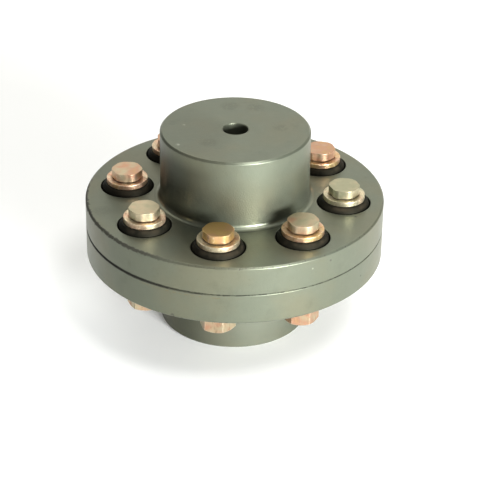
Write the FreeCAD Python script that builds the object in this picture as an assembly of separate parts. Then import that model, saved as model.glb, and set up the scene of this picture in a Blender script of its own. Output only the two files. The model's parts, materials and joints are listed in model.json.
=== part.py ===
"""Flexible flanged shaft coupling with rubber-bushed pins, nominal outside diameter 180 mm.

Two flanged hubs stand face to face on one vertical axis. Eight pins hold them together: each one
passes through a rubber bush in the upper flange and a reamed hole in the lower flange, and is
drawn up by a nut on a split spring washer.

The frame's origin is the centre of the lower hub's end face, with +Z up the shaft axis.
All lengths are in millimetres and all angles in degrees.
"""

import FreeCAD
import Part

import math
import os

from FreeCAD import Vector

# Flanged hubs
hub_diameter = 90.0
pilot_bore = 15.0
upper_hub_length = 61.5
lower_hub_length = 64.0
upper_flange_thickness = 18.0
lower_flange_thickness = 19.0
flange_edge_chamfer = 1.0
hub_end_chamfer = 1.2
mating_edge_chamfer = 0.5
bore_edge_chamfer = 0.5
hub_foot_radius = 3.0

# Pin circle
pin_count = 8
first_pin_angle = -98.0
pin_axis_from_hub = 21.0
pin_axis_from_rim = 24.0
hole_edge_chamfer = 0.3

# Coupling pins
pin_diameter = 14.0
thread_step = 1.0
thread_runout = 2.0
thread_tail = 0.2
pin_end_chamfer = 1.0
head_shoulder = 1.5
head_height = 5.5
head_corner_chamfer = 0.5
bearing_face_height = 0.4
bearing_face_inset = 0.4
head_turns = (2.0, 54.5, 53.0, 45.0, 20.0, 33.0, 59.0, 11.5)

# Rubber bushes
bush_wall = 8.25
bush_standout = 3.0
bush_taper_width = 1.75
bush_taper_length = 3.0

# Washers at both ends of each bush
washer_width = 5.5
head_washer_thickness = 3.0
distance_washer_thickness = 3.0
washer_edge_chamfer = 0.6

# Split spring washers, each still open by the rise from one end to the other
spring_section_width = 4.2
spring_section_thickness = 3.0
spring_openings = (2.1, 4.1, 3.0, 3.4, 2.6, 3.2, 2.8, 3.0)
spring_split_angle = 14.0
split_step_angle = 137.5

# Hexagon nuts
nut_wall = 3.5
nut_height = 10.8
nut_corner_chamfer = 1.9
nut_turns = (46.4, 59.2, 21.0, 38.0, 9.0, 50.0, 28.0, 57.0)

# Slope of the cones that chamfer the corners of heads and nuts
hexagon_chamfer_angle = 30.0

# Clearances, each on the radius
bush_in_hole = 0.75
bush_on_pin = 0.1
washer_on_pin = 0.2
pin_in_flange = 0.05
spring_on_thread = 0.15
nut_on_thread = 0.05

# Diameters and widths that follow from the sizes above
pin_circle_diameter = hub_diameter + 2 * pin_axis_from_hub
flange_diameter = pin_circle_diameter + 2 * pin_axis_from_rim
thread_diameter = pin_diameter - 2 * thread_step
head_across_flats = pin_diameter + 2 * head_shoulder
nut_across_flats = thread_diameter + 2 * nut_wall
washer_diameter = pin_diameter + 2 * washer_width
bush_diameter = pin_diameter + 2 * bush_wall

# Heights that follow from the sizes above
mating_plane = lower_hub_length
upper_flange_back = mating_plane + upper_flange_thickness
lower_flange_back = mating_plane - lower_flange_thickness
bush_bottom = mating_plane + distance_washer_thickness
bush_top = upper_flange_back + bush_standout
head_seat = bush_top + head_washer_thickness
lowest_nut_top = lower_flange_back - spring_section_thickness - max(spring_openings)
pin_end = lowest_nut_top - nut_height - thread_tail

# How far a cutting tool or envelope reaches past the faces that it cuts
overrun = 1.0

Z_AXIS = Vector(0, 0, 1)
ORIGIN = Vector(0, 0, 0)


def point(radius, height):
    """Gives a point of a half section, at a radius from the axis and a height along it."""
    return Vector(radius, 0, height)


def turned(points):
    """Makes the solid that a closed half section of straight runs sweeps round the Z axis."""
    section = Part.Face(Part.makePolygon(points + [points[0]]))
    return section.revolve(ORIGIN, Z_AXIS, 360)


def drill(radius, bottom, top, flare):
    """Makes a cutting tool for a hole from bottom to top whose two mouths flare outwards."""
    wide = radius + flare + overrun
    return turned([
        point(0, bottom - overrun),
        point(wide, bottom - overrun),
        point(radius, bottom + flare),
        point(radius, top - flare),
        point(wide, top + overrun),
        point(0, top + overrun),
    ])


def flanged_hub(length, flange_thickness):
    """Makes a hub and flange in one piece, its mating face at z = 0 and its hub end at z = length."""
    flange_radius = flange_diameter / 2
    hub_radius = hub_diameter / 2
    bore_radius = pilot_bore / 2
    foot_centre = point(hub_radius + hub_foot_radius, flange_thickness + hub_foot_radius)
    foot_reach = hub_foot_radius * math.sqrt(0.5)
    foot_start = point(hub_radius + hub_foot_radius, flange_thickness)
    foot_middle = foot_centre - Vector(foot_reach, 0, foot_reach)
    foot_end = point(hub_radius, flange_thickness + hub_foot_radius)

    flange_side = [
        point(bore_radius, bore_edge_chamfer),
        point(bore_radius + bore_edge_chamfer, 0),
        point(flange_radius - mating_edge_chamfer, 0),
        point(flange_radius, mating_edge_chamfer),
        point(flange_radius, flange_thickness - flange_edge_chamfer),
        point(flange_radius - flange_edge_chamfer, flange_thickness),
        foot_start,
    ]
    hub_side = [
        foot_end,
        point(hub_radius, length - hub_end_chamfer),
        point(hub_radius - hub_end_chamfer, length),
        point(bore_radius + bore_edge_chamfer, length),
        point(bore_radius, length - bore_edge_chamfer),
        point(bore_radius, bore_edge_chamfer),
    ]
    edges = Part.makePolygon(flange_side).Edges
    edges.append(Part.Arc(foot_start, foot_middle, foot_end).toShape())
    edges += Part.makePolygon(hub_side).Edges
    section = Part.Face(Part.Wire(edges))
    return section.revolve(ORIGIN, Z_AXIS, 360)


def pin_places():
    """Lists each pin's number, and the placement that carries a part from the shaft axis to it."""
    places = []
    for number in range(pin_count):
        angle = math.radians(first_pin_angle + number * 360 / pin_count)
        radius = pin_circle_diameter / 2
        places.append((number, Vector(radius * math.cos(angle), radius * math.sin(angle), 0)))
    return places


def with_holes(body, tool):
    """Cuts the tool's hole out of the body at every pin's place."""
    tools = [tool.translated(place) for number, place in pin_places()]
    return body.cut(tools)


def upper_flanged_hub():
    """Makes the upper half, its hub upwards, with a wide hole for each rubber bush."""
    body = flanged_hub(upper_hub_length, upper_flange_thickness)
    body.translate(Vector(0, 0, mating_plane))
    hole_radius = bush_diameter / 2 + bush_in_hole
    return with_holes(body, drill(hole_radius, mating_plane, upper_flange_back, hole_edge_chamfer))


def lower_flanged_hub():
    """Makes the lower half, its hub downwards, with a reamed hole for each pin."""
    body = flanged_hub(lower_hub_length, lower_flange_thickness)
    body.rotate(ORIGIN, Vector(1, 0, 0), 180)
    body.translate(Vector(0, 0, mating_plane))
    hole_radius = pin_diameter / 2 + pin_in_flange
    return with_holes(body, drill(hole_radius, lower_flange_back, mating_plane, hole_edge_chamfer))


def hexagon(across_flats, corner_chamfer, bottom, top, turn):
    """Makes a hexagon prism with a corner at the angle turn, its corners chamfered at both ends."""
    corner_radius = across_flats / math.sqrt(3)
    corners = []
    for side in range(7):
        angle = math.radians(turn + 60 * side)
        corners.append(Vector(corner_radius * math.cos(angle), corner_radius * math.sin(angle), bottom))
    prism = Part.Face(Part.makePolygon(corners)).extrude(Vector(0, 0, top - bottom))

    face_radius = corner_radius - corner_chamfer
    slope = math.tan(math.radians(hexagon_chamfer_angle))
    reach = corner_radius + overrun
    drop = (reach - face_radius) * slope
    envelope = turned([
        point(0, bottom),
        point(face_radius, bottom),
        point(reach, bottom + drop),
        point(reach, top - drop),
        point(face_radius, top),
        point(0, top),
    ])
    return prism.common(envelope)


def coupling_pin(turn):
    """Makes a pin in one piece: hexagon head on a bearing face, plain shank, and thread left plain."""
    bearing_radius = head_across_flats / 2 - bearing_face_inset
    hexagon_bottom = head_seat + bearing_face_height
    shank_radius = pin_diameter / 2
    thread_radius = thread_diameter / 2
    shank_end = lower_flange_back + thread_runout
    stem = turned([
        point(0, hexagon_bottom),
        point(bearing_radius, hexagon_bottom),
        point(bearing_radius, head_seat),
        point(shank_radius, head_seat),
        point(shank_radius, shank_end + thread_step),
        point(thread_radius, shank_end),
        point(thread_radius, pin_end + pin_end_chamfer),
        point(thread_radius - pin_end_chamfer, pin_end),
        point(0, pin_end),
    ])
    head_top = head_seat + head_height
    head = hexagon(head_across_flats, head_corner_chamfer, hexagon_bottom, head_top, turn)
    return head.fuse(stem).removeSplitter()


def rubber_bush():
    """Makes a rubber bush, tapered at both ends, that stands on the distance washer."""
    bore_radius = pin_diameter / 2 + bush_on_pin
    outer_radius = bush_diameter / 2
    end_radius = outer_radius - bush_taper_width
    return turned([
        point(bore_radius, bush_bottom),
        point(end_radius, bush_bottom),
        point(outer_radius, bush_bottom + bush_taper_length),
        point(outer_radius, bush_top - bush_taper_length),
        point(end_radius, bush_top),
        point(bore_radius, bush_top),
    ])


def round_washer(thickness, bottom):
    """Makes a flat round washer for the pin's shank, its two outer edges broken."""
    bore_radius = pin_diameter / 2 + washer_on_pin
    rim_radius = washer_diameter / 2
    top = bottom + thickness
    return turned([
        point(bore_radius, bottom),
        point(rim_radius - washer_edge_chamfer, bottom),
        point(rim_radius, bottom + washer_edge_chamfer),
        point(rim_radius, top - washer_edge_chamfer),
        point(rim_radius - washer_edge_chamfer, top),
        point(bore_radius, top),
    ])


def spring_washer(opening, turn):
    """Makes an open split ring of square section that climbs from the nut to the lower flange."""
    inner_radius = thread_diameter / 2 + spring_on_thread
    middle_radius = inner_radius + spring_section_width / 2
    turned_share = 1 - spring_split_angle / 360
    pitch = opening / turned_share
    spine = Part.makeHelix(pitch, opening, middle_radius)
    outer_radius = inner_radius + spring_section_width
    section = Part.makePolygon([
        point(inner_radius, 0),
        point(outer_radius, 0),
        point(outer_radius, spring_section_thickness),
        point(inner_radius, spring_section_thickness),
        point(inner_radius, 0),
    ])
    sweep = Part.BRepOffsetAPI.MakePipeShell(spine)
    sweep.setBiNormalMode(Z_AXIS)
    sweep.add(section)
    sweep.build()
    sweep.makeSolid()
    ring = sweep.shape()
    ring.rotate(ORIGIN, Z_AXIS, turn)
    ring.translate(Vector(0, 0, lower_flange_back - spring_section_thickness - opening))
    return ring


def hex_nut(opening, turn):
    """Makes a hexagon nut that bears on its spring washer, its bore left plain for the thread."""
    top = lower_flange_back - spring_section_thickness - opening
    bottom = top - nut_height
    blank = hexagon(nut_across_flats, nut_corner_chamfer, bottom, top, turn)
    bore_radius = thread_diameter / 2 + nut_on_thread
    return blank.cut(drill(bore_radius, bottom, top, hole_edge_chamfer))


def export(name, shape):
    """Writes one piece to its own file, as one solid."""
    solid = shape.Solids[0]
    solid.exportStep("parts/" + name + ".step")


def main():
    """Builds every piece and writes it."""
    os.makedirs("parts", exist_ok=True)
    export("upper_flanged_hub", upper_flanged_hub())
    export("lower_flanged_hub", lower_flanged_hub())

    bush = rubber_bush()
    head_washer = round_washer(head_washer_thickness, bush_top)
    distance_washer = round_washer(distance_washer_thickness, mating_plane)

    for number, place in pin_places():
        suffix = "_" + str(number + 1)
        head_turn = head_turns[number % len(head_turns)]
        nut_turn = nut_turns[number % len(nut_turns)]
        split_turn = split_step_angle * number
        opening = spring_openings[number % len(spring_openings)]
        export("coupling_pin" + suffix, coupling_pin(head_turn).translated(place))
        export("head_washer" + suffix, head_washer.translated(place))
        export("rubber_bush" + suffix, bush.translated(place))
        export("distance_washer" + suffix, distance_washer.translated(place))
        export("spring_washer" + suffix, spring_washer(opening, split_turn).translated(place))
        export("hex_nut" + suffix, hex_nut(opening, nut_turn).translated(place))


main()
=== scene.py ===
"""Looks of a flexible pin coupling: painted castings, plated pins and nuts, and rubber bushes.

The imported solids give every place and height, and each class below holds the sizes of its own
pieces. Lengths are in metres, and angles in radians unless a name says degrees.
"""

from __future__ import annotations

import json
import logging
import math
from collections.abc import Callable, Sequence
from dataclasses import dataclass
from enum import Enum
from functools import partial
from typing import ClassVar

import bmesh
import bpy
from bmesh.types import BMEdge, BMFace, BMVert
from bpy.types import Material, Node, NodeSocket
from mathutils import Matrix, Vector

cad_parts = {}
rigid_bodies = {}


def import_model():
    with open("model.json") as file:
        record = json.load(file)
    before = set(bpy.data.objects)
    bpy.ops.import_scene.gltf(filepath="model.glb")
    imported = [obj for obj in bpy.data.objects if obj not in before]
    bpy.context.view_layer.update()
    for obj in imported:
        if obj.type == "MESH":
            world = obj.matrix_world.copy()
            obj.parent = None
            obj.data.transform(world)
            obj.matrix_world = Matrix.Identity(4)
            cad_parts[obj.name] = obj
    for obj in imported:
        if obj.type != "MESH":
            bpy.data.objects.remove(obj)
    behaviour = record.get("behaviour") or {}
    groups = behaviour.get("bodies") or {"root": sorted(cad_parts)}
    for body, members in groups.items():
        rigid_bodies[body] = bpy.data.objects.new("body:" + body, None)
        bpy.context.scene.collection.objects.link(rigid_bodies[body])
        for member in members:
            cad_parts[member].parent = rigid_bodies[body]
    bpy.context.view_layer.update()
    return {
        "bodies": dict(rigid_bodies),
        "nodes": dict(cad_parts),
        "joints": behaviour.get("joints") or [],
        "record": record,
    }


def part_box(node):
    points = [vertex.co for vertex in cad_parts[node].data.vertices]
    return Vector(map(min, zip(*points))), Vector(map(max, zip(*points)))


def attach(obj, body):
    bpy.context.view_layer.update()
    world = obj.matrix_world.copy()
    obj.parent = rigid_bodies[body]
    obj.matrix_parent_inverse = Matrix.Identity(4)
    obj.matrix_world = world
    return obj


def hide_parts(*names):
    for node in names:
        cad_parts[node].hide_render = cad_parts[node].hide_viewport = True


MM = 0.001
BODY = "root"
LOG = logging.getLogger("pin_coupling")

Colour = tuple[float, float, float, float]


class Slot(Enum):
    """The record's material slots that the pieces take their finish from."""

    PAINT = "casting_paint"
    PLATING = "plated_steel"
    RUBBER = "black_rubber"


class Signal:
    """A shader value that Python expressions work on, each operation adding its Math node."""

    def __init__(self, recipe: Recipe, socket: NodeSocket) -> None:
        """Wraps an output socket of a recipe's tree."""
        self.recipe = recipe
        self.socket = socket

    def joined(self, operation: str, *values: Signal | float) -> Signal:
        """Feeds values, in order, to a Math node and gives its result."""
        node = self.recipe.node("ShaderNodeMath", {"operation": operation}, dict(enumerate(values)))
        return Signal(self.recipe, node.outputs[0])

    def __add__(self, other: Signal | float) -> Signal:
        """Adds another value."""
        return self.joined("ADD", self, other)

    __radd__ = __add__

    def __sub__(self, other: Signal | float) -> Signal:
        """Subtracts another value."""
        return self.joined("SUBTRACT", self, other)

    def __rsub__(self, other: float) -> Signal:
        """Subtracts this value from a number."""
        return self.joined("SUBTRACT", other, self)

    def __mul__(self, other: Signal | float) -> Signal:
        """Multiplies by another value."""
        return self.joined("MULTIPLY", self, other)

    __rmul__ = __mul__

    def __truediv__(self, other: Signal | float) -> Signal:
        """Divides by another value."""
        return self.joined("DIVIDE", self, other)

    def __pow__(self, other: Signal | float) -> Signal:
        """Raises this value to a power."""
        return self.joined("POWER", self, other)

    def __abs__(self) -> Signal:
        """Drops the value's sign."""
        return self.joined("ABSOLUTE", self)

    def most(self, other: Signal | float) -> Signal:
        """Gives the larger of this and another value."""
        return self.joined("MAXIMUM", self, other)

    def hypotenuse(self, other: Signal) -> Signal:
        """Gives the length of the step whose two sides are this and another value."""
        return (self * self + other * other) ** 0.5

    def step(self, low: float, high: float) -> Signal:
        """Rises smoothly from 0 to 1 as the value goes from low to high.

        Args:
            low: the value that gives 0.
            high: the value that gives 1, which may be the smaller of the two.

        Returns:
            The smooth step.
        """
        falling = high < low
        ends = (high, low) if falling else (low, high)
        outputs = (1.0, 0.0) if falling else (0.0, 1.0)
        inputs = {"Value": self, "From Min": ends[0], "From Max": ends[1]}
        inputs |= {"To Min": outputs[0], "To Max": outputs[1]}
        node = self.recipe.node("ShaderNodeMapRange", {"interpolation_type": "SMOOTHSTEP"}, inputs)
        return Signal(self.recipe, node.outputs[0])

    def near(self, centre: float, reach: float) -> Signal:
        """Gives 1 where the value is at the centre, falling to 0 a reach away on either side."""
        return abs(self - centre).step(reach, 0.0)


class Recipe:
    """The node tree of one finish, with the few ways of adding to it."""

    def __init__(self, name: str) -> None:
        """Starts an empty material.

        Args:
            name: its name.
        """
        self.material = bpy.data.materials.new(name)
        self.material.use_nodes = True
        self.tree = self.material.node_tree
        self.tree.nodes.clear()
        self.place = self.node("ShaderNodeTexCoord").outputs["Object"]
        self.x, self.y, self.z = self.parts(self.place)

    def node(
        self,
        kind: str,
        settings: dict[str, object] | None = None,
        inputs: dict[str | int, object] | None = None,
    ) -> Node:
        """Adds a node, sets it up and feeds its sockets.

        Args:
            kind: the node's type.
            settings: its properties.
            inputs: a value, socket or Signal for each socket, by name or number.

        Returns:
            The new node.
        """
        node = self.tree.nodes.new(kind)
        for name, value in (settings or {}).items():
            setattr(node, name, value)
        for key, value in (inputs or {}).items():
            source = value.socket if isinstance(value, Signal) else value
            if isinstance(source, NodeSocket):
                self.tree.links.new(source, node.inputs[key])
            else:
                node.inputs[key].default_value = source
        return node

    def parts(self, vector: NodeSocket) -> tuple[Signal, Signal, Signal]:
        """Takes a vector apart into its three values."""
        node = self.node("ShaderNodeSeparateXYZ", inputs={0: vector})
        return tuple(Signal(self, node.outputs[axis]) for axis in "XYZ")

    def attribute(self, name: str) -> Node:
        """Reads one of the piece's own attributes."""
        return self.node("ShaderNodeAttribute", {"attribute_name": name})

    def facing(self, degrees: float, start: float, full: float) -> Signal:
        """Finds the side of the object that looks one way, seen from above.

        Args:
            degrees: the side's direction, counted from +X towards +Y.
            start: how far away, in degrees, the side begins to count.
            full: how far away, in degrees, it counts fully.

        Returns:
            1 on that side and 0 elsewhere.
        """
        way = math.radians(degrees)
        along = self.x * math.cos(way) + self.y * math.sin(way)
        cosine = along / (self.x.hypotenuse(self.y) + 0.01 * MM)
        return cosine.step(math.cos(math.radians(start)), math.cos(math.radians(full)))

    def spot(self, centre: Vector, reach: float) -> Signal:
        """Marks the surface near a point, 1 at the point and 0 a reach away."""
        node = self.node("ShaderNodeVectorMath", {"operation": "DISTANCE"}, {0: self.place, 1: centre})
        return Signal(self, node.outputs["Value"]).step(reach, reach * 0.35)

    def noise(
        self,
        size: float,
        detail: float = 2.0,
        roughness: float = 0.5,
        stretch: Vector | None = None,
    ) -> Signal:
        """Makes soft noise whose lumps are about as large as size.

        Args:
            size: the size of a lump.
            detail: how many finer layers it has.
            roughness: how strong the finer layers are.
            stretch: how much the pattern is squeezed along each axis.

        Returns:
            The noise, about 0.5 on average.
        """
        place = self.place
        if stretch is not None:
            place = self.node("ShaderNodeMapping", inputs={"Vector": place, "Scale": stretch}).outputs[0]
        inputs = {"Vector": place, "Scale": 1 / size, "Detail": detail, "Roughness": roughness}
        return Signal(self, self.node("ShaderNodeTexNoise", inputs=inputs).outputs[0])

    def mix(self, first: object, second: object, share: Signal | float) -> NodeSocket:
        """Blends two colours, the share being how much of the second one shows."""
        settings = {"data_type": "RGBA", "clamp_factor": True}
        return self.node("ShaderNodeMix", settings, {0: share, 6: first, 7: second}).outputs[2]

    def layered(self, colour: NodeSocket, *layers: tuple[Colour, Signal]) -> NodeSocket:
        """Lays colours over a colour, one after another.

        Args:
            colour: the ground.
            layers: each layer's colour, and how much of it shows.

        Returns:
            The blended colour.
        """
        for layer, share in layers:
            colour = self.mix(colour, layer, share)
        return colour

    def ramp(self, value: Signal, stops: Sequence[tuple[float, Colour]]) -> NodeSocket:
        """Turns a value into a colour.

        Args:
            value: the value that picks the colour.
            stops: the ramp's places and colours.

        Returns:
            The colour.
        """
        node = self.node("ShaderNodeValToRGB", inputs={0: value})
        elements = node.color_ramp.elements
        while len(elements) < len(stops):
            elements.new(1.0)
        for element, (place, colour) in zip(elements, stops, strict=True):
            element.position = place
            element.color = colour
        return node.outputs[0]

    def bump(self, height: Signal, distance: float) -> NodeSocket:
        """Bumps the normal by a height, the distance being the rise from 0 to 1."""
        return self.node("ShaderNodeBump", inputs={"Height": height, "Distance": distance}).outputs[0]

    def surface(self, inputs: dict[str | int, object]) -> Material:
        """Ends the recipe with its shader.

        Args:
            inputs: what feeds the shader's sockets.

        Returns:
            The finished material.
        """
        shader = self.node("ShaderNodeBsdfPrincipled", inputs=inputs)
        self.node("ShaderNodeOutputMaterial", inputs={"Surface": shader.outputs[0]})
        return self.material


@dataclass(frozen=True)
class Blemish:
    """A small mark on the paint: its direction, distance from the axis, height and reach."""

    degrees: float
    radius: float
    height: float
    reach: float

    @property
    def centre(self) -> Vector:
        """The mark's middle."""
        way = math.radians(self.degrees)
        return Vector((self.radius * math.cos(way), self.radius * math.sin(way), self.height))


@dataclass(frozen=True)
class SprayedPaint:
    """Grey-green machine paint with a metallic sheen over cast iron, worn and dirty in places, and with
    painted shade and light.
    """

    mating_plane: float
    flange_top: float
    flange_back: float
    hub_top: float
    flange_radius: float
    hub_radius: float
    foot_radius: float
    warm: Colour = (0.194, 0.194, 0.138, 1.0)
    cool: Colour = (0.180, 0.194, 0.147, 1.0)
    # dark grime, also used for painted shade
    grime_and_shade: Colour = (0.014, 0.013, 0.007, 1.0)
    bare: Colour = (0.040, 0.037, 0.027, 1.0)
    sand: Colour = (0.200, 0.165, 0.100, 1.0)
    # pale patches and marks, also used for painted light
    pale_and_light: Colour = (0.400, 0.410, 0.340, 1.0)
    metallic: float = 0.68
    roughness: float = 0.37
    # the side of the castings where shade is painted
    shaded_side_degrees: float = -165.0
    worn_degrees: float = -152.0
    grit_size: float = 0.9 * MM
    cast_size: float = 3.2 * MM
    texture_depth: float = 0.09 * MM
    smudge_share: float = 0.10
    smear_share: float = 0.16
    # how strong the painted shade is on the left side, and on the left of the hubs' walls
    left_shade_share: float = 0.15
    wall_shade_share: float = 0.42
    wear_share: float = 0.85
    dirt_and_shade_share: float = 0.92
    dark_marks: tuple[Blemish, ...] = (
        Blemish(-34.0, 90 * MM, 55.0 * MM, 0.9 * MM),
        Blemish(-21.0, 77 * MM, 82.0 * MM, 1.3 * MM),
        Blemish(-113.0, 90 * MM, 46.5 * MM, 1.6 * MM),
        Blemish(-109.5, 90 * MM, 45.4 * MM, 1.1 * MM),
        Blemish(-52.0, 90 * MM, 77.0 * MM, 1.0 * MM),
    )
    pale_marks: tuple[Blemish, ...] = (
        Blemish(172.0, 31 * MM, 125.5 * MM, 1.1 * MM),
        Blemish(-147.0, 40 * MM, 125.5 * MM, 1.7 * MM),
        Blemish(-60.0, 90 * MM, 75.5 * MM, 0.8 * MM),
    )
    smears: tuple[Blemish, ...] = (
        Blemish(97.0, 31 * MM, 125.5 * MM, 8.0 * MM),
        Blemish(68.0, 32 * MM, 125.5 * MM, 7.0 * MM),
        Blemish(4.0, 27 * MM, 125.5 * MM, 6.0 * MM),
        Blemish(-130.0, 24 * MM, 125.5 * MM, 7.0 * MM),
        Blemish(-137.0, 77 * MM, 82.0 * MM, 9.0 * MM),
        Blemish(-163.0, 82 * MM, 82.0 * MM, 8.0 * MM),
        Blemish(-40.0, 62 * MM, 82.0 * MM, 8.0 * MM),
    )

    def ring(self, recipe: Recipe, radius: float, height: float) -> Signal:
        """Gives the distance to a level circle round the axis."""
        out = recipe.x.hypotenuse(recipe.y) - radius
        return out.hypotenuse(recipe.z - height)

    def seam_dirt_and_shade(self, recipe: Recipe) -> Signal:
        """Finds the dark joint line where the flanges meet, made wider on the left side as painted shade
        in the groove.
        """
        out = recipe.x.hypotenuse(recipe.y)
        width = recipe.noise(5 * MM, 3.0)
        # painted shade: the line is wider and unbroken on the left side
        left = recipe.facing(self.shaded_side_degrees, 85.0, 30.0)
        reach = left * 0.75 * MM + 0.28 * MM
        line = abs(recipe.z - self.mating_plane) - (width - 0.5) * 0.8 * MM
        dotted = recipe.noise(2.6 * MM, 2.0).step(0.42, 0.56)
        share = left + (1.0 - left) * dotted * 0.8
        on_rim = out.step(self.flange_radius - 6 * MM, self.flange_radius - 3 * MM)
        return (reach - line).step(-0.15 * MM, 0.15 * MM) * share * on_rim

    def edge_wear(self, recipe: Recipe) -> Signal:
        """Finds the chips along the upper flange's edge and a few on the lower one."""
        ragged = recipe.noise(2.2 * MM, 3.0, 0.7)
        upper = self.ring(recipe, self.flange_radius - 0.5 * MM, self.flange_top - 0.5 * MM)
        side = recipe.facing(self.worn_degrees, 48.0, 22.0)
        worn = (upper - (ragged - 0.42) * 5.0 * MM).step(0.9 * MM, 0.3 * MM) * side
        lower = self.ring(recipe, self.flange_radius - 0.5 * MM, self.flange_back + 0.5 * MM)
        nicks = (lower - (ragged - 0.60) * 6.0 * MM).step(0.7 * MM, 0.2 * MM)
        bits = (upper - (ragged - 0.64) * 6.0 * MM).step(0.7 * MM, 0.2 * MM)
        return worn.most(nicks * 0.8).most(bits * 0.7)

    def crease_shade(self, recipe: Recipe) -> Signal:
        """Finds the thin line of painted shade where the hub's foot runs into the flange, strongest at
        the front.
        """
        foot = self.hub_radius + self.foot_radius + 0.3 * MM
        near_foot = self.ring(recipe, foot, self.flange_top)
        # painted shade in the crease, stronger at the front
        front = recipe.facing(-85.0, 60.0, 25.0)
        patchy = recipe.noise(9 * MM, 2.0).step(0.30, 0.60) * (front * 0.8 + 0.2)
        return near_foot.step(0.8 * MM, 0.2 * MM) * patchy * 0.75

    def painted_wall_shade(self, recipe: Recipe) -> Signal:
        """Finds where shade is painted on the left of the hubs' walls, as a darker colour."""
        out = recipe.x.hypotenuse(recipe.y)
        wall = out.step(self.hub_radius + 1.5 * MM, self.hub_radius)
        below_top = recipe.z.step(self.hub_top - 1 * MM, self.hub_top - 12 * MM)
        above_foot = recipe.z.step(self.flange_top + 6 * MM, self.flange_top + 20 * MM)
        return recipe.facing(-156.0, 60.0, 12.0) * wall * below_top * above_foot

    def marks(self, recipe: Recipe, blemishes: Sequence[Blemish]) -> Signal:
        """Joins small marks, their outlines broken up.

        Args:
            recipe: the recipe.
            blemishes: the marks.

        Returns:
            1 on a mark and 0 elsewhere.
        """
        ragged = recipe.noise(1.3 * MM, 2.0).step(0.30, 0.55)
        spots = recipe.spot(blemishes[0].centre, blemishes[0].reach)
        for blemish in blemishes[1:]:
            spots = spots.most(recipe.spot(blemish.centre, blemish.reach))
        return spots * ragged

    def material(self) -> Material:
        """Builds the finish."""
        recipe = Recipe("sprayed_paint")
        drift = recipe.noise(38 * MM, 3.0)
        mottle = recipe.noise(6 * MM, 3.0)
        # seam line and crease line: a dark joint with painted shade
        dirt_and_shade = self.seam_dirt_and_shade(recipe).most(self.crease_shade(recipe))
        smudge = recipe.noise(14 * MM, 4.0, 0.6).step(0.56, 0.76) * self.smudge_share
        wear = self.edge_wear(recipe).most(self.marks(recipe, self.dark_marks) * 0.8)
        below_seam = (recipe.z - self.mating_plane).near(-2.0 * MM, 0.7 * MM)
        sandy = below_seam * recipe.facing(-108.0, 24.0, 12.0)
        sandy = sandy * recipe.noise(3 * MM, 2.0).step(0.45, 0.60)
        grit = recipe.noise(self.grit_size, 2.0, 0.6)
        low_hub = recipe.z.step(self.flange_back + 0.5 * MM, self.flange_back - 0.5 * MM)
        # painted shade: the castings' left side is darkened, and the lower hub more so
        left_shade = recipe.facing(self.shaded_side_degrees, 80.0, 30.0) * (low_hub * 0.20 + self.left_shade_share)
        colour = recipe.layered(
            recipe.mix(self.warm, self.cool, drift.step(0.35, 0.65)),
            (self.pale_and_light, (mottle - 0.45) * 0.10),
            (self.grime_and_shade, smudge + grit.step(0.62, 0.80) * 0.22),
            (self.grime_and_shade, self.marks(recipe, self.smears) * self.smear_share),
            # painted light: the lower hub's front is made paler, as if lit from the floor
            (self.pale_and_light, low_hub * recipe.facing(-80.0, 50.0, 20.0) * 0.22),
            # painted shade on the left of the castings and of the hubs' walls
            (self.grime_and_shade, left_shade + self.painted_wall_shade(recipe) * self.wall_shade_share),
            (self.pale_and_light, self.marks(recipe, self.pale_marks) * 0.6),
            (self.sand, sandy * 0.6),
            (self.bare, wear * self.wear_share),
            # painted shade along the seam and in the hub's foot crease, over the dark joint
            (self.grime_and_shade, dirt_and_shade * self.dirt_and_shade_share),
        )
        roughness = self.roughness + (recipe.noise(9 * MM, 3.0) - 0.5) * 0.10 + (dirt_and_shade + wear) * 0.25
        cast = recipe.noise(self.cast_size, 3.0, 0.6)
        low_on_hub = recipe.z.step(self.hub_top - 8 * MM, self.flange_top + 8 * MM)
        low_on_hub = low_on_hub * recipe.z.step(self.flange_top - 2 * MM, self.flange_top + 4 * MM)
        sandy_side = recipe.facing(-100.0, 75.0, 20.0) * (low_on_hub * 0.75 + 0.25)
        height = cast * 0.45 + grit * (0.45 + sandy_side) - wear * 0.6
        inputs = {
            "Base Color": colour,
            "Metallic": self.metallic * (1.0 - dirt_and_shade.most(wear)),
            "Roughness": roughness,
            "Normal": recipe.bump(height, self.texture_depth),
        }
        return recipe.surface(inputs)


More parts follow.
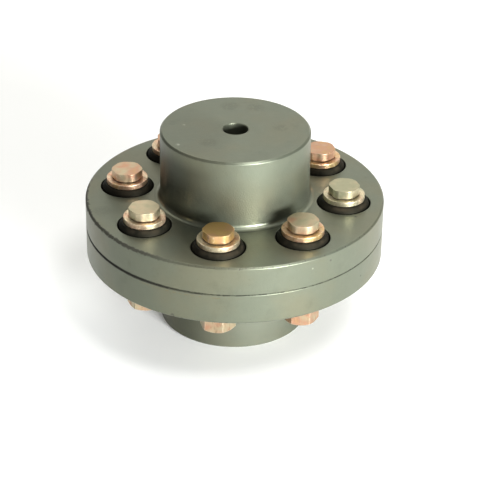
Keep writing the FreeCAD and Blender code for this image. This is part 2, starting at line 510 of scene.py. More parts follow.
@dataclass(frozen=True)
class ZincPlating:
    """Yellow passivated zinc on turned steel, gold with pink and green tints and turning marks."""

    head_top: float
    gold: Colour = (0.60, 0.42, 0.18, 1.0)
    rose: Colour = (0.60, 0.36, 0.245, 1.0)
    silver: Colour = (0.57, 0.49, 0.34, 1.0)
    olive: Colour = (0.43, 0.425, 0.295, 1.0)
    brown: Colour = (0.13, 0.070, 0.028, 1.0)
    bright: Colour = (0.84, 0.75, 0.58, 1.0)
    roughness: float = 0.39
    metallic: float = 0.9
    # below this height the plating is made darker
    darker_below: float = 47 * MM
    stain_size: float = 2.8 * MM
    scuff_size: float = 1.2 * MM
    ring_pitch: float = 0.4 * MM
    relief_depth: float = 0.07 * MM
    scuff_share: float = 0.52
    hollow_share: float = 0.85

    def material(self) -> Material:
        """Builds the finish."""
        recipe = Recipe("zinc_plating")
        off_x, off_y, height = recipe.parts(recipe.attribute("from_axis").outputs["Vector"])
        out = off_x.hypotenuse(off_y)
        tone = Signal(recipe, recipe.attribute("tone").outputs["Fac"])
        rubbed = Signal(recipe, recipe.attribute("rubbed").outputs["Fac"])
        recess = Signal(recipe, recipe.attribute("recess").outputs["Fac"])
        cloud = recipe.noise(7 * MM, 1.0)
        tint = tone + (cloud - 0.5) * 0.9
        stops = ((0.05, self.gold), (0.35, self.rose), (0.62, self.silver), (0.92, self.olive))
        off_flat = height.step(self.head_top - 0.03 * MM, self.head_top - 0.25 * MM)
        streaks = recipe.noise(self.stain_size, 3.0, 0.55, stretch=Vector((1.0, 1.0, 0.35)))
        stain = streaks.step(0.46, 0.74) * (off_flat * 0.9 + 0.1)
        # the plated pieces below this height are made darker
        low_darkening = height.step(self.darker_below, self.darker_below - 4 * MM)
        scuffed = rubbed * off_flat * recipe.noise(self.scuff_size, 2.0).step(0.36, 0.60)
        colour = recipe.layered(
            recipe.ramp(tint, stops),
            (self.brown, stain * 0.42 + low_darkening * 0.20 + (1.0 - off_flat) * 0.20),
            (self.bright, scuffed * self.scuff_share),
            (self.brown, recess * self.hollow_share),
        )
        inputs = {"W": out / self.ring_pitch, "Scale": 1.0}
        rings = recipe.node("ShaderNodeTexNoise", {"noise_dimensions": "1D"}, inputs)
        turned = recipe.noise(0.5 * MM, 2.0, stretch=Vector((0.12, 0.12, 1.0)))
        uneven = recipe.noise(2.6 * MM, 2.0)
        relief = turned * 0.3 + Signal(recipe, rings.outputs[0]) * 0.4 + uneven * 0.7
        polish = (recipe.noise(4 * MM, 3.0) - 0.5) * 0.16
        inputs = {
            "Base Color": colour,
            "Metallic": self.metallic - stain * 0.35 - recess * 0.5,
            "Roughness": self.roughness + stain * 0.22 + recess * 0.3 + polish,
            "Normal": recipe.bump(relief, self.relief_depth),
        }
        return recipe.surface(inputs)


@dataclass(frozen=True)
class MouldedRubber:
    """Black moulded rubber, brown on the front of its upper taper and along its top edge: dusting and a
    painted highlight.
    """

    black: Colour = (0.008, 0.008, 0.006, 1.0)
    dust_and_highlight: Colour = (0.070, 0.054, 0.036, 1.0)
    roughness: float = 0.56
    gloss: float = 0.20
    gloss_tint: Colour = (1.0, 0.93, 0.68, 1.0)
    taper_middle: float = 14.1 * MM
    taper_reach: float = 1.3 * MM
    top_edge: float = 13.4 * MM
    edge_reach: float = 0.35 * MM
    dust_and_highlight_share: float = 0.45

    def material(self) -> Material:
        """Builds the finish."""
        recipe = Recipe("moulded_rubber")
        off_x, off_y, _ = recipe.parts(recipe.attribute("from_axis").outputs["Vector"])
        out = off_x.hypotenuse(off_y)
        front = (off_x * 0.35 - off_y * 0.94) / out
        # painted highlight with some dusting: brown on the lit front of the taper and along the top edge
        dust_and_highlight_mask = recipe.noise(5 * MM, 2.0).step(0.25, 0.75) * front.step(-0.2, 0.8)
        edge_highlight = out.near(self.top_edge, self.edge_reach)
        dust_and_highlight_mask = dust_and_highlight_mask * out.near(self.taper_middle, self.taper_reach).most(edge_highlight)
        inputs = {
            "Base Color": recipe.mix(self.black, self.dust_and_highlight, dust_and_highlight_mask * self.dust_and_highlight_share),
            "Roughness": self.roughness + dust_and_highlight_mask * 0.25,
            "Specular IOR Level": self.gloss,
            "Specular Tint": self.gloss_tint,
            "Normal": recipe.bump(recipe.noise(0.7 * MM, 2.0), 0.05 * MM),
        }
        return recipe.surface(inputs)


@dataclass(frozen=True)
class StudioFloor:
    """Matt white paper under the object."""

    white: Colour = (0.82, 0.82, 0.81, 1.0)
    glow: float = 0.20

    def material(self) -> Material:
        """Builds the finish."""
        recipe = Recipe("studio_floor")
        fibre = recipe.noise(60 * MM, 3.0)
        off_white = tuple(0.97 * part for part in self.white[:3]) + (1.0,)
        colour = recipe.mix(self.white, off_white, fibre)
        inputs = {
            "Base Color": colour,
            "Roughness": 0.9,
            "Emission Color": (1.0, 1.0, 1.0, 1.0),
            "Emission Strength": self.glow,
        }
        return recipe.surface(inputs)


@dataclass(frozen=True)
class Corner:
    """A corner of a turned section: its distance from the axis, its height and its rounding."""

    radius: float
    height: float
    rounding: float = 0.0


class Blank:
    """A mesh being worked, with the operations that the pieces share."""

    FULL_BEND = math.radians(22)

    def __init__(self, tone: float = 0.0) -> None:
        """Starts with nothing but the plating's tint, from gold at 0 to olive at 1."""
        self.mesh = bmesh.new()
        self.tone = tone

    def section(self, corners: Sequence[Corner], closed: bool, segments: int) -> list[BMVert]:
        """Draws a half section in the XZ plane and rounds its corners.

        Args:
            corners: the section's corners in order.
            closed: whether the last corner joins the first.
            segments: how many steps a rounded corner has.

        Returns:
            The section's vertices.
        """
        before = set(self.mesh.verts)
        points = [self.mesh.verts.new((corner.radius, 0.0, corner.height)) for corner in corners]
        follows = points[1:] + points[:1] if closed else points[1:]
        for start, end in zip(points, follows):
            self.mesh.edges.new((start, end))
        for corner, vert in zip(corners, points, strict=True):
            if corner.rounding > 0:
                bmesh.ops.bevel(
                    self.mesh,
                    geom=[vert],
                    offset=corner.rounding,
                    offset_type="OFFSET",
                    segments=segments,
                    profile=0.5,
                    affect="VERTICES",
                    material=-1,
                )
        return [vert for vert in self.mesh.verts if vert not in before]

    def turn(
        self,
        corners: Sequence[Corner],
        steps: int,
        closed: bool = True,
        centre: Vector | None = None,
        segments: int = 3,
    ) -> None:
        """Spins a section round an upright axis.

        Args:
            corners: the section's corners.
            steps: how many steps the full turn has.
            closed: whether the section is a closed ring.
            centre: where the axis stands, the origin by default.
            segments: how many steps a rounded corner has.
        """
        before = set(self.mesh.verts)
        section = self.section(corners, closed, segments)
        edges = {edge for vert in section for edge in vert.link_edges}
        bmesh.ops.spin(
            self.mesh,
            geom=section + list(edges),
            axis=(0, 0, 1),
            angle=math.tau,
            steps=steps,
            use_merge=True,
        )
        if centre is not None:
            turned = [vert for vert in self.mesh.verts if vert not in before]
            bmesh.ops.translate(self.mesh, verts=turned, vec=centre)

    def cap_level(self, height: float) -> None:
        """Fills the flat face between all open rims at a height.

        Args:
            height: the height of the rims.
        """
        tolerance = 0.001 * MM
        open_edges = [edge for edge in self.mesh.edges if len(edge.link_faces) == 1]
        rims = [
            edge
            for edge in open_edges
            if all(abs(vert.co.z - height) < tolerance for vert in edge.verts)
        ]
        bmesh.ops.triangle_fill(self.mesh, use_beauty=True, edges=rims, normal=(0, 0, 1))

    def mark_station(self, place: Station) -> None:
        """Stores what the finish reads at each point, then moves the piece to its station.

        Args:
            place: the piece's station.
        """
        floats = self.mesh.verts.layers.float
        from_axis = self.mesh.verts.layers.float_vector.new("from_axis")
        tone, rubbed, recess = (floats.new(name) for name in ("tone", "rubbed", "recess"))
        for vert in self.mesh.verts:
            vert[from_axis] = vert.co
            vert[tone] = self.tone
            bends = (edge.calc_face_angle_signed(0.0) for edge in vert.link_edges)
            sharpest = max(bends, key=abs)
            vert[rubbed] = min(max(sharpest / self.FULL_BEND, 0.0), 1.0)
            vert[recess] = min(max(-sharpest / self.FULL_BEND, 0.0), 1.0)
        bmesh.ops.translate(self.mesh, verts=self.mesh.verts, vec=place.centre)

    def piece(
        self,
        name: str,
        material: Material,
        stands_for: str,
        place: Station | None = None,
    ) -> None:
        """Makes the finished object, on its body and in place of its solid.

        Args:
            name: the object's name.
            material: its finish.
            stands_for: the solid that it stands for.
            place: the station that it belongs to, if it was made round the origin's axis.
        """
        bmesh.ops.remove_doubles(self.mesh, verts=self.mesh.verts, dist=0.0005 * MM)
        bmesh.ops.recalc_face_normals(self.mesh, faces=self.mesh.faces)
        self.mesh.normal_update()
        for face in self.mesh.faces:
            face.smooth = True
        if place is not None:
            self.mark_station(place)
        data = bpy.data.meshes.new(name)
        self.mesh.to_mesh(data)
        self.mesh.free()
        data.materials.append(material)
        obj = bpy.data.objects.new(name, data)
        bpy.context.scene.collection.objects.link(obj)
        flats = obj.modifiers.new("flat_faces_stay_flat", "WEIGHTED_NORMAL")
        flats.mode = "FACE_AREA"
        flats.weight = 80
        flats.keep_sharp = True
        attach(obj, BODY)
        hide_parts(stands_for)
        LOG.info("%s: %d faces", name, len(data.polygons))


@dataclass(frozen=True)
class Station:
    """One of the places round the pin circle, with its number and the pin's axis."""

    number: int
    x: float
    y: float

    @property
    def centre(self) -> Vector:
        """The pin's axis where it crosses z = 0."""
        return Vector((self.x, self.y, 0.0))

    def pick(self, values: Sequence[float]) -> float:
        """Picks this station's value from a row with one for each station."""
        return values[(self.number - 1) % len(values)]

    def node(self, kind: str) -> str:
        """The name of this station's solid of a kind."""
        return f"{kind}_{self.number}"

    def span(self, kind: str) -> tuple[float, float]:
        """The lowest and highest point of this station's solid of a kind."""
        low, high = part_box(self.node(kind))
        return low.z, high.z


def stations(frame: dict[str, object]) -> list[Station]:
    """Finds the pins' places from the bushes that they run in.

    Args:
        frame: the loaded frame.

    Returns:
        Each pin's station.
    """
    kind = "rubber_bush_"
    names = [name for name in frame["nodes"] if name.startswith(kind)]
    found = []
    for number in sorted(int(name.removeprefix(kind)) for name in names):
        low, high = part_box(f"{kind}{number}")
        middle = (low + high) / 2
        found.append(Station(number, middle.x, middle.y))
    return found


@dataclass(frozen=True)
class FlangedHub:
    """A hub and its flange in one painted casting, with a ring of holes."""

    node: str
    name: str
    flange_thickness: float
    hole_radius: float
    hub_up: bool
    hub_radius: float = 45 * MM
    bore_radius: float = 7.5 * MM
    foot_radius: float = 3 * MM
    hub_edge: float = 1.2 * MM
    flange_edge: float = 1.0 * MM
    mating_edge: float = 0.5 * MM
    bore_edge: float = 0.5 * MM
    hole_edge: float = 0.3 * MM
    paint_rounding: float = 0.25 * MM
    margin: float = 0.4 * MM
    turn_steps: int = 256
    hole_steps: int = 96

    @property
    def flange_radius(self) -> float:
        """The flange's radius, from its solid."""
        low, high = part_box(self.node)
        return round(high.x - low.x, 4) / 2

    def flange_section(self) -> list[Corner]:
        """Lists the corners round the flange's rim, from its back face to its mating face."""
        back = self.flange_thickness
        rounding = self.paint_rounding
        rim = self.flange_radius
        return [
            Corner(rim - self.flange_edge - self.margin, back),
            Corner(rim - self.flange_edge, back, rounding),
            Corner(rim, back - self.flange_edge, rounding),
            Corner(rim, self.mating_edge, rounding / 2),
            Corner(rim - self.mating_edge, 0.0, rounding / 2),
            Corner(rim - self.mating_edge - self.margin, 0.0),
        ]

    def hub_section(self, length: float) -> list[Corner]:
        """Lists the corners from the flange's back face over the hub and through the bore.

        Args:
            length: the casting's length from its mating face to the hub's end.

        Returns:
            The open section.
        """
        back = self.flange_thickness
        rounding = self.paint_rounding
        fine = rounding / 2
        return [
            Corner(self.hub_radius + self.foot_radius + self.margin, back),
            Corner(self.hub_radius, back, self.foot_radius),
            Corner(self.hub_radius, length - self.hub_edge, rounding),
            Corner(self.hub_radius - self.hub_edge, length, rounding),
            Corner(self.bore_radius + self.bore_edge, length, fine),
            Corner(self.bore_radius, length - self.bore_edge, fine),
            Corner(self.bore_radius, self.bore_edge, fine),
            Corner(self.bore_radius + self.bore_edge, 0.0, fine),
            Corner(self.bore_radius + self.bore_edge + self.margin, 0.0),
        ]

    def hole_section(self) -> list[Corner]:
        """Lists the corners through one hole, from the back face to the mating face."""
        back = self.flange_thickness
        mouth = self.hole_radius + self.hole_edge
        fine = self.hole_edge / 3
        return [
            Corner(mouth + self.margin, back),
            Corner(mouth, back, fine),
            Corner(self.hole_radius, back - self.hole_edge, fine),
            Corner(self.hole_radius, self.hole_edge, fine),
            Corner(mouth, 0.0, fine),
            Corner(mouth + self.margin, 0.0),
        ]

    def build(self, places: Sequence[Station], paint: Material) -> None:
        """Makes the casting where its solid is.

        Args:
            places: the pins' stations.
            paint: the finish.
        """
        low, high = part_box(self.node)
        side = 1.0 if self.hub_up else -1.0
        blank = Blank()
        blank.turn(self.flange_section(), self.turn_steps, closed=False)
        blank.turn(self.hub_section(high.z - low.z), self.turn_steps, closed=False, segments=6)
        for place in places:
            centre = Vector((place.x, side * place.y, 0.0))
            blank.turn(self.hole_section(), self.hole_steps, closed=False, centre=centre)
        blank.cap_level(self.flange_thickness)
        blank.cap_level(0.0)
        mating_plane = low.z if self.hub_up else high.z
        tip = Matrix.Rotation(0.0 if self.hub_up else math.pi, 4, "X")
        there = Matrix.Translation((0, 0, mating_plane)) @ tip
        bmesh.ops.transform(blank.mesh, matrix=there, verts=blank.mesh.verts)
        blank.piece(self.name, paint, self.node)


class Skin:
    """A skin grown ring by ring round an upright axis, each ring drawn out of the one before."""

    def __init__(self, blank: Blank, columns: int, turn: float) -> None:
        """Starts with no ring.

        Args:
            blank: the mesh that the skin is grown in.
            columns: how many vertices a ring has.
            turn: how far the whole skin is turned.
        """
        self.mesh = blank.mesh
        self.columns = columns
        self.turn = turn
        self.first: list[BMEdge] = []
        self.last: list[BMEdge] = []
        self.angles: dict[BMVert, float] = {}

    def start(self) -> None:
        """Makes the first ring, and notes its vertices' even angles."""
        made = bmesh.ops.create_circle(self.mesh, radius=1.0, segments=self.columns)["verts"]
        self.angles = {vert: math.atan2(vert.co.y, vert.co.x) for vert in made}
        self.first = list({edge for vert in made for edge in vert.link_edges})
        self.last = self.first

    def extend(self) -> None:
        """Draws a new ring out of the last one, each vertex keeping the angle of the one before."""
        made = bmesh.ops.extrude_edge_only(self.mesh, edges=self.last)["geom"]
        fresh = {}
        for vert in (part for part in made if isinstance(part, BMVert)):
            others = (edge.other_vert(vert) for edge in vert.link_edges)
            fresh[vert] = next(self.angles[other] for other in others if other in self.angles)
        edges = (part for part in made if isinstance(part, BMEdge))
        self.last = [edge for edge in edges if all(vert in fresh for vert in edge.verts)]
        self.angles = fresh

    def ring(
        self,
        radius: Callable[[float], float],
        height: float,
        warp: Callable[[float], float] | None = None,
    ) -> None:
        """Grows one more ring.

        Args:
            radius: gives the ring's radius for a column's even angle.
            height: the ring's height.
            warp: moves a column's even angle, if given.
        """
        if self.last:
            self.extend()
        else:
            self.start()
        for vert, angle in self.angles.items():
            reach = radius(angle)
            turned = (warp(angle) if warp else angle) + self.turn
            vert.co = (reach * math.cos(turned), reach * math.sin(turned), height)

    def circle(self, radius: float, height: float) -> None:
        """Grows a round ring."""
        self.ring(lambda angle: radius, height)

    def fill(self, edges: list[BMEdge]) -> None:
        """Closes a ring with a flat face."""
        bmesh.ops.edgeloop_fill(self.mesh, edges=edges)


@dataclass(frozen=True)
class Hexagon:
    """A hexagon whose corners are chamfered by a cone at both ends, its edges slightly rounded."""

    across_flats: float
    corner_chamfer: float
    corner_blunting: float = 0.0
    chamfer_degrees: float = 30.0
    edge_rounding: float = 0.15 * MM
    crowding: float = 0.8
    levels: int = 11

    @property
    def corner_radius(self) -> float:
        """The radius of the sharp corners."""
        return self.across_flats / math.sqrt(3)

    def crowded(self, angle: float) -> float:
        """Moves a direction towards the nearest corner, where the outline needs more points."""
        return angle - self.crowding * math.sin(6 * angle) / 6

    def blended(self, first: float, second: float) -> float:
        """Gives the smaller of two radii, with a smooth change from one to the other."""
        overlap = max(self.edge_rounding - abs(first - second), 0.0) / self.edge_rounding
        return min(first, second) - overlap * overlap * self.edge_rounding / 4

    def outline(self, angle: float) -> float:
        """Gives the hexagon's radius in a direction measured from one of its corners."""
        from_corner = (angle + math.radians(30)) % math.radians(60) - math.radians(30)
        inner = self.across_flats / 2
        left = inner / math.cos(from_corner + math.radians(30))
        right = inner / math.cos(from_corner - math.radians(30))
        return self.blended(self.blended(left, right), self.corner_radius - self.corner_blunting)

    def radius(self, angle: float, depth: float) -> float:
        """Gives the radius at a depth below the nearer end face.

        Args:
            angle: a column's even angle from a corner.
            depth: the depth below the end face.

        Returns:
            The distance from the axis.
        """
        face_radius = self.corner_radius - self.corner_chamfer
        cone = face_radius + depth / math.tan(math.radians(self.chamfer_degrees))
        above = max(1.0 - depth / self.edge_rounding, 0.0)
        rounded_off = self.edge_rounding * (1.0 - math.sqrt(1.0 - above * above))
        return self.blended(self.outline(self.crowded(angle)), cone) - rounded_off

    def depths(self) -> list[float]:
        """Lists the depths of the rings that shape one end, from its face down."""
        reach = 1.25 * self.corner_chamfer * math.tan(math.radians(self.chamfer_degrees))
        reach = max(reach, 2 * self.edge_rounding)
        return [reach * (level / self.levels) ** 1.6 for level in range(self.levels + 1)]

    def grow(self, skin: Skin, start: float, end: float) -> None:
        """Grows the hexagon's skin from one end face to the other.

        Args:
            skin: the skin, whose last ring the first new one is joined to.
            start: the height of the end face to start from.
            end: the height of the other end face.
        """
        way = math.copysign(1.0, end - start)
        heights = [(depth, start + way * depth) for depth in self.depths()]
        heights += [(depth, end - way * depth) for depth in reversed(self.depths())]
        for depth, height in heights:
            skin.ring(partial(self.radius, depth=depth), height, self.crowded)


@dataclass(frozen=True)
class StackedPiece:
    """A kind of piece of which one stands on every pin's axis."""

    solid: ClassVar[str]
    label: ClassVar[str]
    slot: ClassVar[Slot] = Slot.PLATING
    tones: ClassVar[tuple[float, ...]] = (0.0,)

    def shape(self, blank: Blank, place: Station) -> None:
        """Shapes a station's piece round the origin's axis."""
        raise NotImplementedError

    def build(self, place: Station, finish: Material) -> None:
        """Makes the piece at its station.

        Args:
            place: the pin's station.
            finish: the piece's material.
        """
        blank = Blank(place.pick(self.tones))
        self.shape(blank, place)
        name = f"{self.label}_{place.number}"
        blank.piece(name, finish, place.node(self.solid), place)


@dataclass(frozen=True)
class CouplingPin(StackedPiece):
    """A pin in one piece: low hexagon head on a bearing face, plain shank and a cut thread."""

    solid: ClassVar[str] = "coupling_pin"
    label: ClassVar[str] = "pin"
    tones: ClassVar[tuple[float, ...]] = (0.04, 0.66, 0.92, 0.34, 0.30, 0.40, 0.46, 0.70)
    head: Hexagon = Hexagon(17.5 * MM, 1.10 * MM, 0.85 * MM, edge_rounding=0.18 * MM)
    head_height: float = 5.5 * MM
    bearing_height: float = 0.4 * MM
    bearing_radius: float = 8.1 * MM
    shank_radius: float = 7 * MM
    thread_radius: float = 6 * MM
    thread_depth: float = 1.0 * MM
    pitch: float = 1.75 * MM
    thread_length: float = 20.1 * MM
    end_chamfer: float = 1.0 * MM
    columns: int = 96
    rings_a_pitch: int = 8
    turns_degrees: tuple[float, ...] = (2.0, 54.5, 53.0, 45.0, 20.0, 33.0, 59.0, 11.5)

    def thread(self, angle: float, above_end: float) -> float:
        """Gives the threaded end's radius.

        Args:
            angle: the direction.
            above_end: the height above the pin's end.

        Returns:
            The distance from the axis.
        """
        turned = above_end / self.pitch - angle / math.tau
        flank = abs(2 * (turned % 1.0) - 1)
        cut = self.thread_depth * min(1.0, max(0.0, 1.25 * flank - 0.125))
        fading = min(1.0, (self.thread_length - above_end) / self.pitch)
        return min(self.thread_radius - cut * fading, self.thread_radius - self.end_chamfer + above_end)

    def shape(self, blank: Blank, place: Station) -> None:
        """Grows the pin from its head's face down to its end.

        Args:
            blank: the mesh.
            place: the pin's station.
        """
        end, top = place.span(self.solid)
        seat = top - self.head_height
        shank_end = end + self.thread_length + self.shank_radius - self.thread_radius
        skin = Skin(blank, self.columns, math.radians(place.pick(self.turns_degrees)))
        self.head.grow(skin, top, seat + self.bearing_height)
        skin.fill(skin.first)
        skin.circle(self.bearing_radius, seat + self.bearing_height)
        skin.circle(self.bearing_radius, seat)
        skin.circle(self.shank_radius, seat)
        skin.circle(self.shank_radius, shank_end)
        count = round(self.thread_length / self.pitch * self.rings_a_pitch)
        for step in range(count, -1, -1):
            above_end = self.thread_length * step / count
            skin.ring(partial(self.thread, above_end=above_end), end + above_end)
        skin.fill(skin.last)


@dataclass(frozen=True)
class HeadWasher(StackedPiece):
    """The round washer between a pin's head and its bush."""

    solid: ClassVar[str] = "head_washer"
    label: ClassVar[str] = "washer"
    tones: ClassVar[tuple[float, ...]] = (0.58, 0.20, 0.72, 0.24, 0.50, 0.40, 0.36, 0.50)
    radius: float = 12.5 * MM
    bore: float = 7.2 * MM
    edge: float = 0.45 * MM
    steps: int = 96

    def shape(self, blank: Blank, place: Station) -> None:
        """Turns the washer.

        Args:
            blank: the mesh.
            place: the pin's station.
        """
        bottom, top = place.span(self.solid)
        corners = [
            Corner(self.bore, bottom),
            Corner(self.radius, bottom, self.edge / 2),
            Corner(self.radius, top, self.edge),
            Corner(self.bore, top),
        ]
        blank.turn(corners, self.steps, segments=4)


@dataclass(frozen=True)
class RubberBush(StackedPiece):
    """A rubber bush with tapered ends, standing proud of its hole."""

    solid: ClassVar[str] = "rubber_bush"
    label: ClassVar[str] = "bush"
    slot: ClassVar[Slot] = Slot.RUBBER
    radius: float = 15.25 * MM
    bore: float = 7.1 * MM
    taper_width: float = 1.75 * MM
    taper_length: float = 3 * MM
    rounding: float = 0.6 * MM
    steps: int = 96

    def shape(self, blank: Blank, place: Station) -> None:
        """Turns the bush.

        Args:
            blank: the mesh.
            place: the pin's station.
        """
        bottom, top = place.span(self.solid)
        end_radius = self.radius - self.taper_width
        corners = [
            Corner(self.bore, bottom),
            Corner(end_radius, bottom, self.rounding),
            Corner(self.radius, bottom + self.taper_length, self.rounding),
            Corner(self.radius, top - self.taper_length, self.rounding),
            Corner(end_radius, top, self.rounding),
            Corner(self.bore, top),
        ]
        blank.turn(corners, self.steps, segments=4)


@dataclass(frozen=True)
class SpringWasher(StackedPiece):
    """A split spring washer that still stands open."""

    solid: ClassVar[str] = "spring_washer"
    label: ClassVar[str] = "spring_ring"
    tones: ClassVar[tuple[float, ...]] = HeadWasher.tones
    bore: float = 6.15 * MM
    width: float = 4.2 * MM
    thickness: float = 3 * MM
    rounding: float = 0.35 * MM
    split_degrees: float = 14.0
    split_step_degrees: float = 137.5
    steps: int = 80

    def shape(self, blank: Blank, place: Station) -> None:
        """Winds the washer's section up through nearly a full turn.

        Args:
            blank: the mesh.
            place: the pin's station.
        """
        bottom, top = place.span(self.solid)
        corners = [
            Corner(self.bore, bottom, self.rounding),
            Corner(self.bore + self.width, bottom, self.rounding),
            Corner(self.bore + self.width, bottom + self.thickness, self.rounding),
            Corner(self.bore, bottom + self.thickness, self.rounding),
        ]
        section = blank.section(corners, closed=True, segments=2)
        face = bmesh.ops.contextual_create(blank.mesh, geom=section)["faces"]
        start = bmesh.ops.duplicate(blank.mesh, geom=face)["geom"]
        opening = top - bottom - self.thickness
        bmesh.ops.spin(
            blank.mesh,
            geom=[part for part in start if isinstance(part, BMFace)],
            axis=(0, 0, 1),
            dvec=(0, 0, opening / self.steps),
            angle=math.radians(360 - self.split_degrees),
            steps=self.steps,
        )
        turn = math.radians(self.split_step_degrees * (place.number - 1))
        bmesh.ops.rotate(blank.mesh, verts=blank.mesh.verts, matrix=Matrix.Rotation(turn, 3, "Z"))


@dataclass(frozen=True)
class HexNut(StackedPiece):
    """A hexagon nut with a countersunk bore."""

    solid: ClassVar[str] = "hex_nut"
    label: ClassVar[str] = "nut"
    tones: ClassVar[tuple[float, ...]] = (0.55, 0.42, 0.30, 0.50, 0.20, 0.60, 0.40, 0.50)
    body: Hexagon = Hexagon(19 * MM, 1.9 * MM, edge_rounding=0.22 * MM)
    bore: float = 6.05 * MM
    mouth: float = 0.4 * MM
    columns: int = 96
    turns_degrees: tuple[float, ...] = (46.4, 59.2, 21.0, 38.0, 9.0, 50.0, 28.0, 57.0)

    def shape(self, blank: Blank, place: Station) -> None:
        """Grows the nut from its bore round its outside and back.

        Args:
            blank: the mesh.
            place: the pin's station.
        """
        bottom, top = place.span(self.solid)
        skin = Skin(blank, self.columns, math.radians(place.pick(self.turns_degrees)))
        skin.circle(self.bore, bottom + self.mouth)
        skin.circle(self.bore + self.mouth, bottom)
        self.body.grow(skin, bottom, top)
        skin.circle(self.bore + self.mouth, top)
        skin.circle(self.bore, top - self.mouth)
        skin.circle(self.bore, bottom + self.mouth)


@dataclass(frozen=True)
class SoftBox:
    """A large soft lamp that looks at the object."""

    name: str
    azimuth_degrees: float
    elevation_degrees: float
    distance: float
    width: float
    height: float
    watts: float
    tint: tuple[float, float, float] = (1.0, 1.0, 1.0)


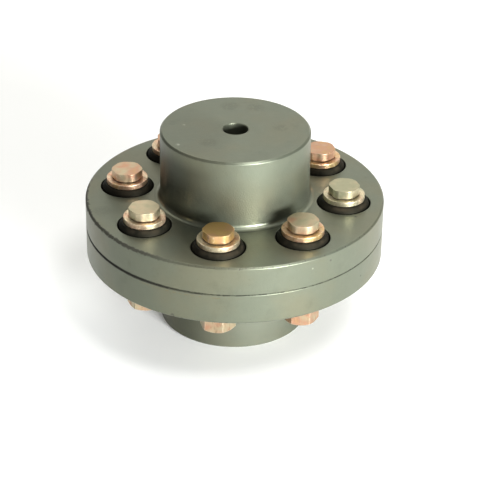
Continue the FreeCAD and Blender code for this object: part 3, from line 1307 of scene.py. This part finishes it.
@dataclass(frozen=True)
class Studio:
    """The floor, the lamps and the camera round the object."""

    target: tuple[float, float, float] = (0.0, 0.0, 0.064)
    image_side: int = 501
    sensor_width: float = 36.0
    focal_pixels: float = 1951.4
    camera_distance: float = 1.18768
    camera_elevation_degrees: float = 28.856
    camera_roll_degrees: float = 0.624
    target_column: float = 234.48
    target_row: float = 219.48
    floor_side: float = 24.0
    world_strength: float = 0.20
    gamma: float = 0.87
    lamps: tuple[SoftBox, ...] = (
        SoftBox("key", 32.0, 10.0, 1.6, 0.6, 0.4, 60.0, (0.97, 1.0, 1.01)),
        SoftBox("backdrop", 180.0, 55.0, 1.8, 2.6, 1.2, 21.0, (1.0, 1.0, 0.95)),
        SoftBox("low_backdrop", 180.0, 12.0, 1.8, 2.6, 1.0, 9.5, (1.0, 1.0, 0.95)),
        SoftBox("overhead", 40.0, 62.0, 1.6, 0.5, 0.5, 10.0),
    )

    def direction(self, azimuth_degrees: float, elevation_degrees: float) -> Vector:
        """Gives the way from the object to a place seen at these angles, 0 being the photo's side."""
        azimuth = math.radians(azimuth_degrees)
        elevation = math.radians(elevation_degrees)
        level = math.cos(elevation)
        return Vector((level * math.sin(azimuth), -level * math.cos(azimuth), math.sin(elevation)))

    def lay_floor(self) -> None:
        """Lays the floor under the object."""
        mesh = bmesh.new()
        bmesh.ops.create_grid(mesh, x_segments=4, y_segments=4, size=self.floor_side / 2)
        data = bpy.data.meshes.new("floor")
        mesh.to_mesh(data)
        mesh.free()
        data.materials.append(StudioFloor().material())
        floor = bpy.data.objects.new("floor", data)
        bpy.context.scene.collection.objects.link(floor)

    def hang_lamps(self) -> None:
        """Hangs the soft boxes, and lights the room evenly."""
        for box in self.lamps:
            lamp = bpy.data.lights.new(box.name, "AREA")
            lamp.shape = "RECTANGLE"
            lamp.size = box.width
            lamp.size_y = box.height
            lamp.energy = box.watts
            lamp.color = box.tint
            holder = bpy.data.objects.new(box.name, lamp)
            bpy.context.scene.collection.objects.link(holder)
            away = self.direction(box.azimuth_degrees, box.elevation_degrees)
            holder.location = Vector(self.target) + away * box.distance
            holder.rotation_euler = away.to_track_quat("Z", "Y").to_euler()
        world = bpy.data.worlds.new("room")
        world.use_nodes = True
        background = world.node_tree.nodes["Background"]
        background.inputs["Color"].default_value = (1.0, 1.0, 1.0, 1.0)
        background.inputs["Strength"].default_value = self.world_strength
        bpy.context.scene.world = world

    def set_camera(self) -> None:
        """Sets the camera where the photo was taken from, with the photo's framing."""
        lens = bpy.data.cameras.new("photo_camera")
        lens.sensor_fit = "HORIZONTAL"
        lens.sensor_width = self.sensor_width
        lens.lens = self.sensor_width * self.focal_pixels / self.image_side
        middle = self.image_side / 2
        lens.shift_x = (middle - self.target_column) / self.image_side
        lens.shift_y = (self.target_row - middle) / self.image_side
        camera = bpy.data.objects.new("photo_camera", lens)
        bpy.context.scene.collection.objects.link(camera)
        away = self.direction(0.0, self.camera_elevation_degrees)
        roll = Matrix.Rotation(math.radians(self.camera_roll_degrees), 4, "Z")
        aim = away.to_track_quat("Z", "Y").to_matrix().to_4x4() @ roll
        stand = Vector(self.target) + away * self.camera_distance
        camera.matrix_world = Matrix.Translation(stand) @ aim
        bpy.context.scene.camera = camera

    def set_view(self) -> None:
        """Shows colours with no filmic tone curve, only a little more contrast."""
        bpy.context.scene.view_settings.view_transform = "Standard"
        bpy.context.scene.view_settings.gamma = self.gamma

    def build(self) -> None:
        """Sets up everything round the object."""
        self.lay_floor()
        self.hang_lamps()
        self.set_camera()
        self.set_view()


@dataclass(frozen=True)
class PinCoupling:
    """The whole coupling, dressed."""

    upper: FlangedHub = FlangedHub("upper_flanged_hub", "upper_casting", 18 * MM, 16 * MM, True)
    lower: FlangedHub = FlangedHub("lower_flanged_hub", "lower_casting", 19 * MM, 7.05 * MM, False)
    kinds: tuple[StackedPiece, ...] = (
        CouplingPin(),
        HeadWasher(),
        RubberBush(),
        SpringWasher(),
        HexNut(),
    )

    def finishes(self, head_top: float) -> dict[Slot, Material]:
        """Builds the material of each slot.

        Args:
            head_top: the height of the pin heads' faces.

        Returns:
            The materials by slot.
        """
        _, lower_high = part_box(self.lower.node)
        upper_low, upper_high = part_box(self.upper.node)
        paint = SprayedPaint(
            mating_plane=lower_high.z,
            flange_top=upper_low.z + self.upper.flange_thickness,
            flange_back=lower_high.z - self.lower.flange_thickness,
            hub_top=upper_high.z,
            flange_radius=self.upper.flange_radius,
            hub_radius=self.upper.hub_radius,
            foot_radius=self.upper.foot_radius,
        )
        looks = {Slot.PAINT: paint, Slot.PLATING: ZincPlating(head_top), Slot.RUBBER: MouldedRubber()}
        return {slot: look.material() for slot, look in looks.items()}

    def build(self, frame: dict[str, object]) -> None:
        """Builds every piece and dresses the solids that stay.

        Args:
            frame: the loaded frame.
        """
        places = stations(frame)
        head_top = max(place.span(CouplingPin.solid)[1] for place in places)
        finishes = self.finishes(head_top)
        for hub in (self.upper, self.lower):
            hub.build(places, finishes[Slot.PAINT])
        for place in places:
            for kind in self.kinds:
                kind.build(place, finishes[kind.slot])
            hidden = frame["nodes"][place.node("distance_washer")]
            hidden.data.materials.clear()
            hidden.data.materials.append(finishes[Slot.PLATING])


def main() -> None:
    """Loads the frame, builds the coupling round it and sets up the studio."""
    logging.basicConfig(level=logging.INFO, format="%(message)s")
    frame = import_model()
    PinCoupling().build(frame)
    Studio().build()


if __name__ == "__main__":
    main()
